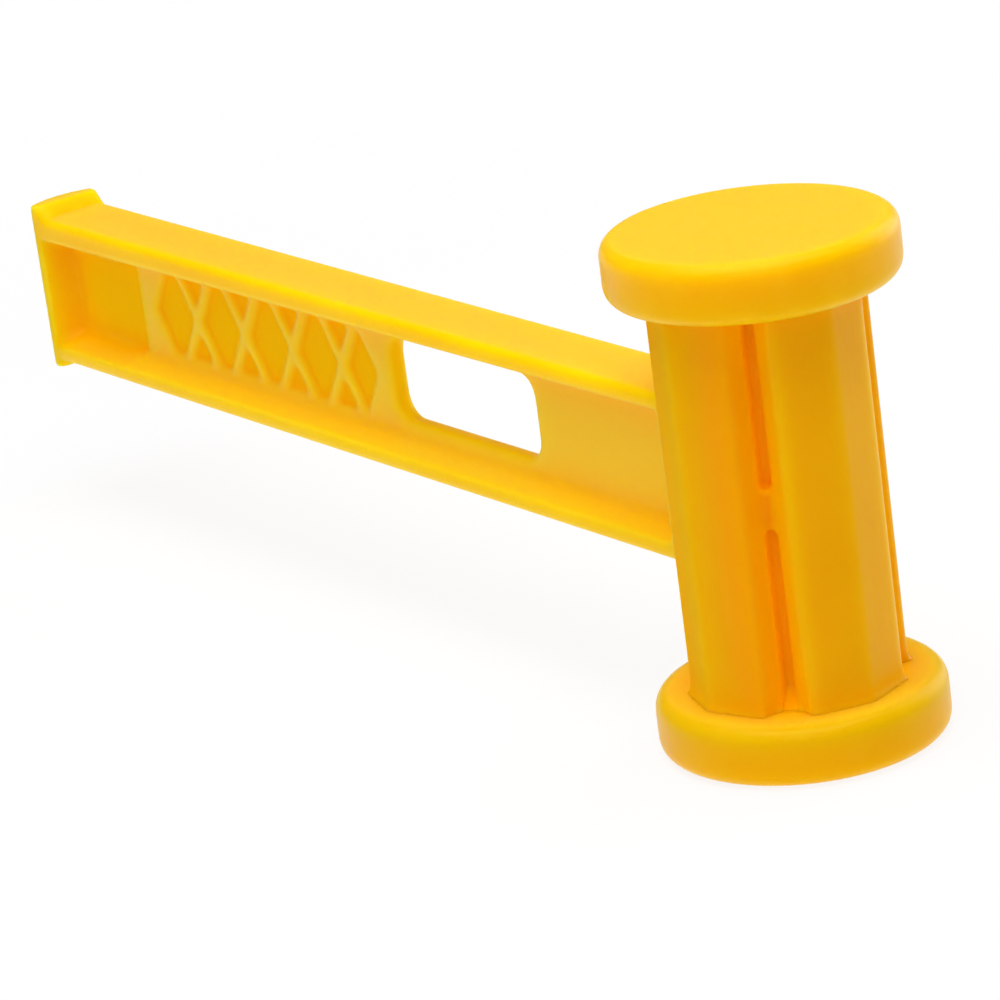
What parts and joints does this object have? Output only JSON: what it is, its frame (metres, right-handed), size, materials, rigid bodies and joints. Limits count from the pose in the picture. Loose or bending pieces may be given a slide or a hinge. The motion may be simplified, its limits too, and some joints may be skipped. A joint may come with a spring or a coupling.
{
  "type": "camping mallet",
  "caption": "Moulded plastic tent-peg mallet: fluted head column between two round striking caps, on an I-section handle with a through window and a ribbed grip panel.",
  "frame": {"origin": "centre of the lower striking face", "axes": "+Z along the head's axis from the lower striking face to the upper one; the handle points along -X; the handle's web lies in the plane Y = 0"},
  "size_m": [0.3085, 0.06, 0.109],
  "materials": {
    "cap_plastic": "satin-gloss moulded yellow plastic, faintly translucent",
    "core_plastic": "satin-gloss moulded yellow plastic, faintly translucent",
    "handle_plastic": "satin-gloss moulded yellow plastic, faintly translucent"
  },
  "bodies": {
    "root": {"lower_striking_cap": "cap_plastic", "upper_striking_cap": "cap_plastic", "head_core": "core_plastic", "handle": "handle_plastic"}
  },
  "joints": []
}
